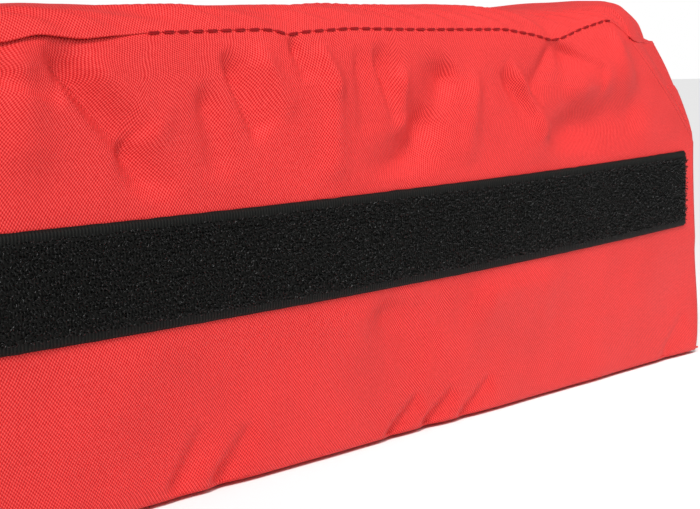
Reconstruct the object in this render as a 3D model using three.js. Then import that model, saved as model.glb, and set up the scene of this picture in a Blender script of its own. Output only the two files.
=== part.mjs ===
// A soft zip pouch that holds a folded fire blanket.
// Millimetres, +Z up. X runs along the pouch, Y across it, and the front wall is at -Y.
// The origin is at the centre of the pouch's footprint, on the surface that it rests on.

import * as THREE from 'three';

// ---- Driving dimensions ----

const pouchLength = 340;
const pouchDepth = 240;
const seamHeight = 106;
const lidCrown = 10;
const lidFullness = 4;
const frontBulge = 6;
const rearCornerRadius = 28;
const clothThickness = 1.2;
const clearance = 0.3;

const zipSlit = 1.6;
const coilHeight = 2.6;
const coilDepth = 2.2;
const coilToCloth = 0.6;
const tapeHeight = 9.6;
const tapeThickness = 0.8;
const cornerPieceLength = 14;
const zipEndPatchHeight = 18;

const bindingHeight = 10;
const bindingThickness = 1.5;
const tapeToBinding = 3.3;

const stripLength = 320;
const stripWidth = 25;
const stripSelvage = 2.4;
const stripBase = 0.8;
const hookHeight = 1.4;
const stripMiddle = 54.6;

const sliderLength = 14;
const sliderHeight = 11;
const sliderPlate = 1.2;
const sliderRunning = 0.7;
const sliderMeeting = 0.8;
const bridgeLength = 9.2;
const bridgeWidth = 3;
const bridgeBar = 1.2;
const tabLength = 24;
const tabThickness = 1.4;
const tabCrossbar = 0.9;
const tabRim = 1.4;
const tabEyePlay = 1.1;
const tabPlay = 0.1;

const webbingWidth = 25;
const webbingThickness = 1.6;
const handleSpan = 160;
const handleRise = 22;
const handleStandoff = 7.6;
const handleEndGap = 0.8;
const handleSewn = 25;
const handleHeight = 32;

const blanketEndRoom = 20;
const blanketFrontRoom = 22;
const blanketRearRoom = 18;
const blanketHeadroom = 13.3;
const blanketRuns = 9;
const blanketRunGap = 0.6;

const pullTapeLength = 120;
const pullTapeToCard = 13.5;
const cardLength = 148;
const cardDepth = 105;
const cardThickness = 0.4;

// An odd count leaves a flat facet at the middle of the curved front wall.
const frontFacets = 17;
const cornerSteps = 8;
const foldSteps = 8;
const handleSteps = 12;
const domeColumns = 20;
const domeRows = 14;

// ---- Derived places ----

const halfLength = pouchLength / 2;
const halfDepth = pouchDepth / 2;
const wallBottom = clothThickness + clearance;
const wallTop = seamHeight - clearance;
const gussetFront = -halfDepth + clothThickness + clearance;
const liningInset = clothThickness + clearance;
const chainHalf = zipSlit / 2 + coilHeight;
const clothEdge = chainHalf + coilToCloth;
const coilOut = coilDepth - clothThickness;
const zipToSeam = zipSlit / 2 + tapeHeight + tapeToBinding + bindingHeight + clearance;
const zipHeight = seamHeight - zipToSeam;
const zipFront = gussetFront + cornerPieceLength;

// ---- Materials ----

function material(color, roughness, metalness = 0) {
  return new THREE.MeshStandardMaterial({ color, roughness, metalness });
}

const redNylon = material('#ec3a3b', 0.62);
const redTape = material('#c92f31', 0.75);
const redCoil = material('#b3282b', 0.45);
const redBinding = material('#b92c2f', 0.8);
const blackHook = material('#151515', 0.85);
const blackWebbing = material('#1b1b1c', 0.8);
const platedZinc = material('#b9bcc0', 0.32, 0.9);
const glassCloth = material('#e7e4da', 0.85);
const cardStock = material('#f2f1ec', 0.7);

// ---- Shared geometry ----

// Distance of the front wall's outer face from the middle, at a place along the pouch.
function frontFace(x) {
  return -halfDepth - frontBulge * (1 - (x / halfLength) ** 2);
}

function extrude(points, depth, steps = 1, holes = []) {
  const shape = new THREE.Shape(points);
  shape.holes = holes.map((hole) => new THREE.Path(hole));
  return new THREE.ExtrudeGeometry(shape, { depth, steps, bevelEnabled: false });
}

function rectangle(left, right, low, high) {
  return [
    new THREE.Vector2(left, low),
    new THREE.Vector2(right, low),
    new THREE.Vector2(right, high),
    new THREE.Vector2(left, high),
  ];
}

// A plan outline raised between two heights.
function raise(points, low, high, holes = []) {
  return extrude(points, high - low, 1, holes).translate(0, 0, low);
}

// A (y, z) section run along X between two places.
function runAlongX(section, start, end, steps = 1) {
  const turn = new THREE.Matrix4().makeBasis(
    new THREE.Vector3(0, 1, 0),
    new THREE.Vector3(0, 0, 1),
    new THREE.Vector3(1, 0, 0),
  );
  return extrude(section, end - start, steps).applyMatrix4(turn).translate(start, 0, 0);
}

// Moves each point of a geometry with a function that changes the vector it is given.
function reshape(geometry, move) {
  const position = geometry.attributes.position;
  const point = new THREE.Vector3();
  for (let i = 0; i < position.count; i += 1) {
    point.fromBufferAttribute(position, i);
    move(point);
    position.setXYZ(i, point.x, point.y, point.z);
  }
  return geometry;
}

// A section given from the front wall's outer face inwards, bent to the wall's curve.
function alongFront(section, length) {
  const geometry = runAlongX(section, -length / 2, length / 2, frontFacets);
  return reshape(geometry, (point) => {
    point.y += frontFace(point.x);
  });
}

// The plan line of the end and rear walls, from the front left round to the front right.
function wallLine(inset, front) {
  const side = halfLength - inset;
  const rear = halfDepth - inset;
  const radius = rearCornerRadius - inset;
  const points = [new THREE.Vector2(-side, front)];
  for (const turn of [0, 1]) {
    const centreX = (turn * 2 - 1) * (side - radius);
    for (let i = 0; i <= cornerSteps; i += 1) {
      const angle = Math.PI - (turn + i / cornerSteps) * (Math.PI / 2);
      points.push(
        new THREE.Vector2(
          centreX + radius * Math.cos(angle),
          rear - radius + radius * Math.sin(angle),
        ),
      );
    }
  }
  points.push(new THREE.Vector2(side, front));
  return points;
}

// A band that follows the end and rear walls, between two insets and two heights.
function wallBand(outer, inner, front, low, high) {
  const outline = wallLine(outer, front).concat(wallLine(inner, front).reverse());
  return raise(outline, low, high);
}

// A strip of even thickness along a line of points that carry their normals.
function ribbon(line, thickness) {
  const near = line.map(({ at, normal }) => at.clone().addScaledVector(normal, thickness / 2));
  const far = line.map(({ at, normal }) => at.clone().addScaledVector(normal, -thickness / 2));
  return near.concat(far.reverse());
}

// Adds a named mesh to a group and returns it.
function addPart(group, name, geometry, surface) {
  const mesh = new THREE.Mesh(geometry, surface);
  mesh.name = name;
  group.add(mesh);
  return mesh;
}

// ---- Pouch ----

// The floor panel: rounded at the rear, bowed at the front.
function floorPanel() {
  const outline = wallLine(0, -halfDepth);
  for (let i = frontFacets - 1; i > 0; i -= 1) {
    const x = pouchLength * (i / frontFacets - 0.5);
    outline.push(new THREE.Vector2(x, frontFace(x)));
  }
  return raise(outline, 0, clothThickness);
}

function frontWall() {
  return alongFront(rectangle(0, clothThickness, wallBottom, wallTop), pouchLength);
}

// The hook strip's section: a woven base with a plain selvage each side of the hook field.
function hookStrip() {
  const base = -clearance;
  const face = base - stripBase;
  const hooks = face - hookHeight;
  const low = stripMiddle - stripWidth / 2;
  const high = stripMiddle + stripWidth / 2;
  const section = [
    new THREE.Vector2(base, low),
    new THREE.Vector2(base, high),
    new THREE.Vector2(face, high),
    new THREE.Vector2(face, high - stripSelvage),
    new THREE.Vector2(hooks, high - stripSelvage),
    new THREE.Vector2(hooks, low + stripSelvage),
    new THREE.Vector2(face, low + stripSelvage),
    new THREE.Vector2(face, low),
  ];
  return alongFront(section, stripLength);
}

function hingeSeamBinding() {
  const section = rectangle(
    liningInset,
    liningInset + bindingThickness,
    wallTop - bindingHeight,
    wallTop,
  );
  const endInset = liningInset + bindingThickness + 2 * clearance;
  return alongFront(section, pouchLength - 2 * endInset);
}

// Each half of the zip: side is -1 below the slit and 1 above it.
function zipTape(side) {
  const near = zipHeight + (side * zipSlit) / 2;
  const far = near + side * tapeHeight;
  const low = Math.min(near, far);
  return wallBand(liningInset, liningInset + tapeThickness, zipFront, low, low + tapeHeight);
}

function zipCoil(side) {
  const near = zipHeight + (side * zipSlit) / 2;
  const low = Math.min(near, near + side * coilHeight);
  return wallBand(-coilOut, clothThickness, zipFront, low, low + coilHeight);
}

// A full-height panel between the front wall and the zip's end; side is the way it faces along X.
function cornerPiece(side) {
  const outer = side * halfLength;
  const inner = side * (halfLength - clothThickness);
  const outline = rectangle(
    Math.min(inner, outer),
    Math.max(inner, outer),
    gussetFront,
    zipFront - clearance,
  );
  return raise(outline, wallBottom, wallTop);
}

// A cloth patch on a corner piece, where the zip's end is sewn down.
function zipEndPatch(side) {
  const inner = halfLength + clearance;
  const outer = inner + clothThickness;
  const outline = rectangle(
    Math.min(side * inner, side * outer),
    Math.max(side * inner, side * outer),
    gussetFront,
    zipFront - clearance,
  );
  return raise(outline, zipHeight - zipEndPatchHeight / 2, zipHeight + zipEndPatchHeight / 2);
}

// Half the grip's length: it starts where the webbing stands off the wall far enough to swing.
const gripHalf = (handleSpan / Math.PI) * Math.acos(Math.sqrt(handleStandoff / handleRise));

// The webbing's middle line in plan, resting on the rear wall and rising to the grip.
function handleLine(start, end) {
  const line = [];
  for (let i = 0; i <= handleSteps; i += 1) {
    const x = start + ((end - start) * i) / handleSteps;
    const turn = (Math.PI * x) / handleSpan;
    const raised = Math.abs(x) < handleSpan / 2;
    const rise = raised ? handleRise * Math.cos(turn) ** 2 : 0;
    const slope = raised ? (-handleRise * Math.PI * Math.sin(2 * turn)) / handleSpan : 0;
    line.push({
      at: new THREE.Vector2(x, halfDepth + clearance + webbingThickness / 2 + rise),
      normal: new THREE.Vector2(-slope, 1).normalize(),
    });
  }
  return line;
}

function webbing(start, end) {
  const outline = ribbon(handleLine(start, end), webbingThickness);
  const low = handleHeight - webbingWidth / 2;
  return raise(outline, low, low + webbingWidth);
}

function buildPouch() {
  const group = new THREE.Group();
  const gussetTop = zipHeight - clothEdge;
  addPart(group, 'back_panel', floorPanel(), redNylon);
  addPart(group, 'front_wall', frontWall(), redNylon);
  addPart(
    group,
    'lower_gusset',
    wallBand(0, clothThickness, zipFront, wallBottom, gussetTop),
    redNylon,
  );
  addPart(
    group,
    'lower_seam_binding',
    wallBand(
      liningInset,
      liningInset + bindingThickness,
      gussetFront,
      wallBottom,
      wallBottom + bindingHeight,
    ),
    redBinding,
  );
  addPart(group, 'left_corner_piece', cornerPiece(-1), redNylon);
  addPart(group, 'right_corner_piece', cornerPiece(1), redNylon);
  addPart(group, 'hinge_seam_binding', hingeSeamBinding(), redBinding);
  addPart(group, 'lower_zip_tape', zipTape(-1), redTape);
  addPart(group, 'lower_zip_coil', zipCoil(-1), redCoil);
  addPart(group, 'left_zip_end_patch', zipEndPatch(-1), redNylon);
  addPart(group, 'right_zip_end_patch', zipEndPatch(1), redNylon);
  addPart(group, 'hook_strip', hookStrip(), blackHook);
  const sewnEnd = handleSpan / 2 + handleSewn;
  const gripEnd = gripHalf + handleEndGap;
  addPart(group, 'left_handle_end', webbing(-sewnEnd, -gripEnd), blackWebbing);
  addPart(group, 'right_handle_end', webbing(gripEnd, sewnEnd), blackWebbing);
  return group;
}

// ---- Lid ----

// The lid panel covers the footprint and rises to a low crown, the flatter on top the fuller it is.
function lidPanel() {
  const sheet = new THREE.BoxGeometry(2, 2, clothThickness, domeColumns, domeRows, 1);
  return reshape(sheet, (point) => {
    const across = point.y;
    const x = halfLength * Math.sin((point.x * Math.PI) / 2);
    const pastCorner = Math.max(0, Math.abs(x) - (halfLength - rearCornerRadius));
    const cut = rearCornerRadius - Math.sqrt(Math.max(0, rearCornerRadius ** 2 - pastCorner ** 2));
    const front = frontFace(x);
    const rear = halfDepth - cut;
    const bow = (1 - (x / halfLength) ** lidFullness) * (1 - across ** lidFullness);
    const rise = seamHeight + clothThickness / 2 + lidCrown * bow;
    point.set(x, front + ((rear - front) * (across + 1)) / 2, point.z + rise);
  });
}

function buildLid() {
  const group = new THREE.Group();
  addPart(group, 'lid_panel', lidPanel(), redNylon);
  addPart(
    group,
    'upper_gusset',
    wallBand(0, clothThickness, zipFront, zipHeight + clothEdge, wallTop),
    redNylon,
  );
  addPart(group, 'upper_zip_tape', zipTape(1), redTape);
  addPart(group, 'upper_zip_coil', zipCoil(1), redCoil);
  addPart(
    group,
    'lid_seam_binding',
    wallBand(
      liningInset,
      liningInset + bindingThickness,
      zipFront,
      wallTop - bindingHeight,
      wallTop,
    ),
    redBinding,
  );
  return group;
}

// ---- Sliders and their pull tabs ----

// Places on a slider count outwards from the rear wall's face.
const frontPlate = coilOut + sliderRunning;
const plateFace = frontPlate + sliderPlate;
const rearPlate = -(liningInset + tapeThickness + sliderRunning);
const crossbarReach = Math.hypot(tabCrossbar, tabThickness / 2);
const tabAxis = plateFace + crossbarReach + tabPlay;
const bridgeUnder = tabAxis + crossbarReach + tabPlay;
const bridgeTop = bridgeUnder + bridgeBar;

// An outer and an inner plate joined by a thin post in the slit.
function sliderBody() {
  const plate = sliderHeight / 2;
  const post = zipSlit / 2 - clearance;
  const section = [
    new THREE.Vector2(frontPlate, post),
    new THREE.Vector2(frontPlate, plate),
    new THREE.Vector2(plateFace, plate),
    new THREE.Vector2(plateFace, -plate),
    new THREE.Vector2(frontPlate, -plate),
    new THREE.Vector2(frontPlate, -post),
    new THREE.Vector2(rearPlate, -post),
    new THREE.Vector2(rearPlate, -plate),
    new THREE.Vector2(rearPlate - sliderPlate, -plate),
    new THREE.Vector2(rearPlate - sliderPlate, plate),
    new THREE.Vector2(rearPlate, plate),
    new THREE.Vector2(rearPlate, post),
  ];
  return runAlongX(section, -sliderLength / 2, sliderLength / 2);
}

// The arch on a slider that holds its tab's crossbar.
function sliderBridge() {
  const foot = plateFace + clearance;
  const outer = bridgeLength / 2;
  const inner = outer - bridgeBar;
  const arch = [
    new THREE.Vector2(-outer, foot),
    new THREE.Vector2(-inner, foot),
    new THREE.Vector2(-inner, bridgeUnder),
    new THREE.Vector2(inner, bridgeUnder),
    new THREE.Vector2(inner, foot),
    new THREE.Vector2(outer, foot),
    new THREE.Vector2(outer, bridgeTop),
    new THREE.Vector2(-outer, bridgeTop),
  ];
  return raise(arch, -bridgeWidth / 2, bridgeWidth / 2);
}

// A flat tab whose eye goes round the bridge; side is the way it lies along X.
function pullTab(side) {
  const nearEnd = -tabThickness / 2;
  const eyeHalf = bridgeWidth / 2 + tabEyePlay;
  const eyeEnd = Math.hypot(bridgeLength / 2, bridgeTop - tabAxis) + tabEyePlay;
  const endRadius = eyeHalf + tabRim;
  const outline = [new THREE.Vector2(nearEnd, -endRadius)];
  for (let i = 0; i <= cornerSteps; i += 1) {
    const angle = Math.PI * (i / cornerSteps - 0.5);
    outline.push(
      new THREE.Vector2(
        tabLength - endRadius + endRadius * Math.cos(angle),
        endRadius * Math.sin(angle),
      ),
    );
  }
  outline.push(new THREE.Vector2(nearEnd, endRadius));
  const eye = rectangle(tabCrossbar, eyeEnd, -eyeHalf, eyeHalf);
  const tab = raise(outline, -tabThickness / 2, tabThickness / 2, [eye]);
  tab.rotateX(Math.PI / 2);
  if (side < 0) tab.rotateY(Math.PI);
  return tab;
}

function buildSlider(sideName, side) {
  const group = new THREE.Group();
  const restX = (side * (sliderLength + sliderMeeting)) / 2;
  group.position.set(restX, halfDepth, zipHeight);
  addPart(group, `${sideName}_slider_body`, sliderBody(), platedZinc);
  addPart(group, `${sideName}_slider_bridge`, sliderBridge(), platedZinc);
  addPart(group, `${sideName}_pull_tab`, pullTab(side), platedZinc).position.y = tabAxis;
  return group;
}

// ---- Blanket ----

const blanketFront = -halfDepth + blanketFrontRoom;
const blanketRear = halfDepth - blanketRearRoom;
const blanketLength = pouchLength - 2 * blanketEndRoom;
const blanketTop = seamHeight - blanketHeadroom;
const blanketPitch = (blanketTop - wallBottom + blanketRunGap) / blanketRuns;
const blanketRun = blanketPitch - blanketRunGap;

// The middle line of the folded cloth, back and forth in the Y-Z plane.
function foldLine() {
  const line = [];
  const turnRadius = blanketPitch / 2;
  const reach = turnRadius + blanketRun / 2;
  const front = blanketFront + reach;
  const rear = blanketRear - reach;
  for (let run = 0; run < blanketRuns; run += 1) {
    const way = run % 2 === 0 ? 1 : -1;
    const height = wallBottom + blanketRun / 2 + run * blanketPitch;
    const isFirst = run === 0;
    const isLast = run === blanketRuns - 1;
    if (isFirst) {
      line.push({ at: new THREE.Vector2(front, height), normal: new THREE.Vector2(0, 1) });
    }
    const endY = way > 0 ? rear : front;
    if (isLast) {
      line.push({ at: new THREE.Vector2(endY, height), normal: new THREE.Vector2(0, way) });
    }
    for (let i = 0; i <= foldSteps && !isLast; i += 1) {
      const angle = (Math.PI * i) / foldSteps;
      const out = new THREE.Vector2(way * Math.sin(angle), -Math.cos(angle));
      const centre = new THREE.Vector2(endY, height + turnRadius);
      line.push({
        at: centre.addScaledVector(out, turnRadius),
        normal: out.clone().multiplyScalar(-way),
      });
    }
  }
  return line;
}

function pullTape(side) {
  const middle = side * (cardLength / 2 + pullTapeToCard + webbingWidth / 2);
  const outline = rectangle(
    middle - webbingWidth / 2,
    middle + webbingWidth / 2,
    -pullTapeLength / 2,
    pullTapeLength / 2,
  );
  const low = blanketTop + clearance;
  return raise(outline, low, low + webbingThickness);
}

function buildBlanket() {
  const group = new THREE.Group();
  const folds = runAlongX(
    ribbon(foldLine(), blanketRun),
    -blanketLength / 2,
    blanketLength / 2,
  );
  addPart(group, 'folded_blanket', folds, glassCloth);
  addPart(group, 'left_pull_tape', pullTape(-1), blackWebbing);
  addPart(group, 'right_pull_tape', pullTape(1), blackWebbing);
  const card = rectangle(-cardLength / 2, cardLength / 2, -cardDepth / 2, cardDepth / 2);
  const cardLow = blanketTop + clearance;
  addPart(group, 'instruction_card', raise(card, cardLow, cardLow + cardThickness), cardStock);
  return group;
}

// ---- Handle ----

function buildHandle() {
  const group = new THREE.Group();
  addPart(group, 'handle_webbing', webbing(-gripHalf, gripHalf), blackWebbing);
  return group;
}

const fireBlanket = new THREE.Group();
fireBlanket.add(
  buildPouch(),
  buildLid(),
  buildSlider('left', -1),
  buildSlider('right', 1),
  buildBlanket(),
  buildHandle(),
);

export default fireBlanket;
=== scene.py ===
import functools
import math
import random

import bpy
import numpy as np
from mathutils import Matrix, Vector, noise


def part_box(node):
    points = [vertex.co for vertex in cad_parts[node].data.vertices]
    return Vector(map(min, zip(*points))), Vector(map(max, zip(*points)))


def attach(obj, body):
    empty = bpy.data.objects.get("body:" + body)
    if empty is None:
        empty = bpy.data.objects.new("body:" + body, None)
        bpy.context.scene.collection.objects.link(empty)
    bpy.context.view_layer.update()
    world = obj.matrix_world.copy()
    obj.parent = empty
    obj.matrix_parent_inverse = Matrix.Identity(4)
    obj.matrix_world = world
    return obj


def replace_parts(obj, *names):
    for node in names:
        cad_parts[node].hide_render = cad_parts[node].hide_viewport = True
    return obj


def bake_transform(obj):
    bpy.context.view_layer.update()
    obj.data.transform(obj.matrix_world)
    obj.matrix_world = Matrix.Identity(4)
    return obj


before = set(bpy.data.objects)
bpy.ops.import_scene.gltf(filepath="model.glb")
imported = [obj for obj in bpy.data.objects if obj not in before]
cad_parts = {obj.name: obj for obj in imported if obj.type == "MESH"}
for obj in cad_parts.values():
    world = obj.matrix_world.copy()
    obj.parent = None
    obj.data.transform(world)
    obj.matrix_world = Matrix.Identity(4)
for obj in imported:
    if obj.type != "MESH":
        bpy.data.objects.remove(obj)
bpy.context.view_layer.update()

mm = 0.001
random.seed(7)
print("frame loaded")

# Shape of the stuffed pouch, in millimetres.


def cadCorners(node):
    return [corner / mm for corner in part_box(node)]


wallLow, wallHigh = cadCorners("front_wall")
gussetLow, gussetHigh = cadCorners("lower_gusset")
upperLow = cadCorners("upper_gusset")[0]
stripLow, stripHigh = cadCorners("hook_strip")
halfLength = wallHigh.x
halfDepth = gussetHigh.y
seamHeight = wallHigh.z + 0.3
frontCorner = -halfDepth
zipStart = gussetLow.y
zipHeight = (gussetHigh.z + upperLow.z) / 2
stripMiddle = (stripLow.z + stripHigh.z) / 2

pouch = {
    "bulge": frontCorner - wallLow.y,   # the stuffed front wall bows out this far at its middle
    "bulgeHeights": (-12, 45),          # none at the floor, and all of it from here up
    "lean": 0.8,                        # the wall leans back by this at the top seam
    "leanHeights": (72, 110),
    "hem": 0.4,                         # height of the walls' lower edge
    "floorPinch": 1.4,                  # cloth is drawn in at the sewn edges
    "floorPinchReach": 4,
    "topPinch": 2.4,
    "topPinchReach": 7,
    "stripHold": 0.85,                  # the sewn strip keeps the cloth under it this much flatter
    "stripHoldReach": (14, 20),
    "endPuff": 2.6,
    "endPuffDepths": (-115, -60, 50, 92),
    "endWaveDepths": (-118, -95, 70, 92),
    "rearPuff": 1.3,
    "puffPower": 1.2,
    "topPuff": 0.25,                    # share of the puff above the zip
    "rearRadius": 28,
    "rightPull": 43,                    # the slack top corner falls in along the wall
    "leftPull": 30,
    "pullFrom": 72,
    "pullDepth": 0.5,
    "pullCurl": 2.2,
    "valley": 0.15,                     # and folds into a hollow just past the front edge
    "valleyEnd": 0.7,
    "cornerRound": 2.0,
    "flare": 3.8,                       # the filled lower corners stand out
    "flareHeights": (12, 66),
    "flareDepths": (-112, -60),
    "foldStrength": 2.9,
    "cloth": 0.55,
}

# The top seam wanders up and down where the stitching gathers the cloth.
seamLine = [
    (-170, 105), (-140, 105.5), (-117, 104), (-107, 106), (-96, 105), (-75, 106.5), (-41, 107.5),
    (-36, 107), (-33, 106), (-29, 107), (-11, 108), (16, 108), (56, 108.5), (71, 107), (80, 105.5),
    (85, 106), (97, 109), (113, 112), (116, 111.5), (129, 106.5), (140, 106), (170, 106),
]

# Each fold runs from one place on the wall to another (x, z), with its width and how deep it sinks;
# a negative depth is a ridge. The last number gives a crease its steep side: 1 right, -1 left, 0 neither.
wallFolds = [
    (-105, 102, -87, 82, 2.4, 1.7, 1),
    (-87, 82, -79, 71, 4.2, 1.5, 0),
    (-121, 98, -104, 93, 1.6, 0.9, 1),
    (-112, 104, -112, 84, 5, -0.9, 0),
    (-96, 101, -78, 86, 4, -0.9, 0),
    (-56, 101, -47, 84, 1.9, 1.3, 1),
    (-63, 94, -60, 78, 3.6, 0.8, 0),
    (-45, 103, -37, 90, 3.2, -0.7, 0),
    (-33, 105, -29, 97, 1.8, 0.8, 0),
    (-24, 104, -20, 94, 2.2, -0.7, 0),
    (-20, 100, -21, 72, 3.8, -0.7, 0),
    (-10, 103, -9, 84, 2.4, 0.6, 1),
    (-3, 103, 4, 86, 2.3, 1.1, 1),
    (7, 98, 7, 84, 3.2, -0.9, 0),
    (28, 98, 20, 84, 4, 1.5, -1),
    (20, 86, 2, 68, 7.5, 1.9, 0),
    (38, 97, 34, 76, 4.2, -0.8, 0),
    (57, 98, 72, 80, 3, -1.2, 0),
    (52, 96, 66, 84, 2.2, 0.7, 1),
    (80, 104, 67, 92, 2.6, 0.8, 0),
    (80, 104, 105, 96, 2.2, 1, -1),
    (85, 92, 120, 96, 7, -1.3, 0),
    (76, 78, 122, 84, 7, 1.4, 0),
    (114, 108, 121, 90, 5, -0.8, 0),
    (-5, 40, 12, 24, 8, 0.9, 0),
    (36, 34, 70, 30, 9, -0.7, 0),
    (4, 1, 15, 9, 1.6, 0.7, 1),
    (20, 1, 30, 8, 1.6, 0.8, 1),
    (36, 1, 47, 9, 1.6, 0.6, 1),
    (-60, 1, -50, 12, 2.4, 0.9, 1),
    (-74, 2, -66, 14, 2.4, 0.7, 1),
    (148, 1, 160, 12, 2.4, 0.35, 1),
    (-149, 103, -132, 84, 3, 1.4, 1),
]
foldShape = {
    "gentleSide": 2.6,       # times the width on a crease's gentle side
    "steepSide": 0.9,
    "startWidth": 0.75,      # a fold widens along its length
    "widening": 0.5,
    "startsOver": (-0.12, 0.3),
    "shallowing": 0.5,
}

# Unevenness of the stuffed cloth: wave lengths in millimetres, a place in the noise, and the height.
waves = {
    "front": (38, 30, 3.1, 0.9),
    "frontFine": (13, 15, 8.7, 0.22),
    "end": (26, 22, 5.5, 1),
    "endFine": (9, 14, 3.5, 0.25),
    "rear": (24, 20, 1.5, 0.8),
    "rearFine": (9, 13, 7.5, 0.25),
    "lid": (30, 26, 2.2, 1),
    "lidFine": (11, 13, 6.2, 0.3),
}


def smooth(low, high, value):
    share = min(1, max(0, (value - low) / (high - low)))
    return share * share * (3 - 2 * share)


# All between the two inner values, fading to none at the two outer ones.
def within(outerLow, innerLow, innerHigh, outerHigh, value):
    return smooth(outerLow, innerLow, value) * (1 - smooth(innerHigh, outerHigh, value))


def wave(name, x, up, side=1):
    lengthX, lengthUp, place, height = waves[name]
    return height * noise.noise(Vector((x / lengthX, up / lengthUp, place * side)))


def sideOf(x):
    return 1 if x > 0 else -1


# The stuffing pushes the walls out between the floor and the zip, and much less above it.
def puffAt(z):
    if z < zipHeight:
        return math.sin(math.pi * max(0, z) / zipHeight) ** pouch["puffPower"]
    return pouch["topPuff"] * math.sin(math.pi * min(1, (z - zipHeight) / (seamHeight - zipHeight)))


# The height that a list of places gives at x.
def heightAt(x, line):
    return float(np.interp(x, *zip(*line)))


def seamAt(x):
    total = 0
    for shift in (-1.6, 0, 1.6):    # takes the points off the line
        total += heightAt(x + shift, seamLine)
    return total / 3


def foldDepth(x, z):
    depth = 0
    for x0, z0, x1, z1, width, sink, bank in wallFolds:
        alongX, alongZ = x1 - x0, z1 - z0
        length = math.hypot(alongX, alongZ)
        share = ((x - x0) * alongX + (z - z0) * alongZ) / length ** 2
        near = min(1, max(0, share))
        across = ((x - x0) * alongZ - (z - z0) * alongX) / length
        beyond = (share - near) * length
        reach = width
        if bank:
            gentle = across * math.copysign(1, -alongZ) * bank < 0
            reach *= foldShape["gentleSide"] if gentle else foldShape["steepSide"]
        reach *= foldShape["startWidth"] + foldShape["widening"] * near
        taper = smooth(*foldShape["startsOver"], share) * (1 - foldShape["shallowing"] * near)
        depth += sink * math.exp(-(across / reach) ** 2 - (beyond / width) ** 2) * taper
    return depth


def pull(z, side):
    most = pouch["rightPull"] if side > 0 else pouch["leftPull"]
    share = max(0, (z - pouch["pullFrom"]) / (seamHeight - pouch["pullFrom"]))
    return pouch["cornerRound"] + (most - pouch["cornerRound"]) * min(1, share) ** 1.05


def flare(z):
    return pouch["flare"] * (1 - smooth(*pouch["flareHeights"], z))


def wallEdge(z, side):
    return halfLength - pull(z, side) + flare(z)


def frontBow(x, z):
    across = 1 - (x / halfLength) ** 2
    bow = pouch["bulge"] * across * smooth(*pouch["bulgeHeights"], z)
    return frontCorner - bow + pouch["lean"] * smooth(*pouch["leanHeights"], z)


# The outer face of the front wall.
def frontFace(x, z):
    pinch = pouch["floorPinch"] * math.exp(-max(0, z) / pouch["floorPinchReach"])
    pinch += pouch["topPinch"] * math.exp(-max(0, seamAt(x) - z) / pouch["topPinchReach"])
    near, far = pouch["stripHoldReach"]
    held = within(stripMiddle - far, stripMiddle - near, stripMiddle + near, stripMiddle + far, z)
    loose = 1 - pouch["stripHold"] * held
    soft = wave("front", x, z) + wave("frontFine", x, z)
    return frontBow(x, z) + pinch + loose * (pouch["foldStrength"] * foldDepth(x, z) + soft)


@functools.cache
def frontEdge(z, side):
    return frontFace(side * wallEdge(z, side), z)


# How much of the slack is left at a share of the way round the corner: all at its start, none at its end.
def slackLeft(share):
    valley = pouch["valley"] * math.sin(math.pi * min(1, share / pouch["valleyEnd"])) ** 2
    return (1 - share) ** pouch["pullCurl"] + valley


shareSteps = [step / 100 for step in range(100, -1, -1)]
slackSteps = [slackLeft(share) for share in shareSteps]


# The end walls, with the slack front corner rounding further in towards the top.
def endFace(y, z, side):
    gone = pull(z, side)
    start = frontEdge(z, side)
    share = min(1, max(0, (y - start) / max(2.0, pouch["pullDepth"] * gone)))
    x = halfLength - gone * slackLeft(share) + flare(z) * (1 - smooth(*pouch["flareDepths"], y))
    puff = pouch["endPuff"] * puffAt(z) * within(*pouch["endPuffDepths"], y)
    still = 1 - smooth(*pouch["endWaveDepths"][2:], y)
    soft = wave("end", y, z, side) * still + wave("endFine", y, z, side)
    return side * (x + puff + soft * within(*pouch["endWaveDepths"], y))


sideRun = halfDepth - pouch["rearRadius"] - zipStart
arcRun = math.pi / 2 * pouch["rearRadius"]
rearRun = 2 * (halfLength - pouch["rearRadius"])
zipRun = 2 * sideRun + 2 * arcRun + rearRun


# A place on the end and rear walls: run counts from the zip's right end round the rear to its left end.
def wallPoint(run, z, out=0):
    radius = pouch["rearRadius"]
    if run > zipRun / 2:
        mirrored = wallPoint(zipRun - run, z, out)
        if run > zipRun - sideRun:
            mirrored.x = -endFace(mirrored.y, z, -1) + out
        return Vector((-mirrored.x, mirrored.y, mirrored.z))
    if run < sideRun:
        y = zipStart + run
        return Vector((endFace(y, z, 1) + out, y, z))
    if run < sideRun + arcRun:
        turn = (run - sideRun) / radius
        reach = radius + out
        centre = Vector((halfLength - radius, halfDepth - radius, z))
        return centre + Vector((reach * math.cos(turn), reach * math.sin(turn), 0))
    x = halfLength - radius - (run - sideRun - arcRun)
    inward = 1 - (x / (halfLength - radius)) ** 2
    soft = (wave("rear", x, z) + wave("rearFine", x, z)) * min(1, 3 * inward)
    return Vector((x, halfDepth + (pouch["rearPuff"] * inward + soft) * puffAt(z) + out, z))


# Finishes.


def colour(hexCode):
    parts = [int(hexCode[i:i + 2], 16) / 255 for i in (1, 3, 5)]
    linear = [p / 12.92 if p <= 0.04045 else ((p + 0.055) / 1.055) ** 2.4 for p in parts]
    return (*linear, 1)


def addNode(tree, kind, links=None, **settings):
    node = tree.nodes.new(kind)
    for name, value in settings.items():
        setattr(node, name, value)
    for socket, value in (links or {}).items():
        if isinstance(value, bpy.types.NodeSocket):
            tree.links.new(value, node.inputs[socket])
        else:
            node.inputs[socket].default_value = value
    return node


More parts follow.
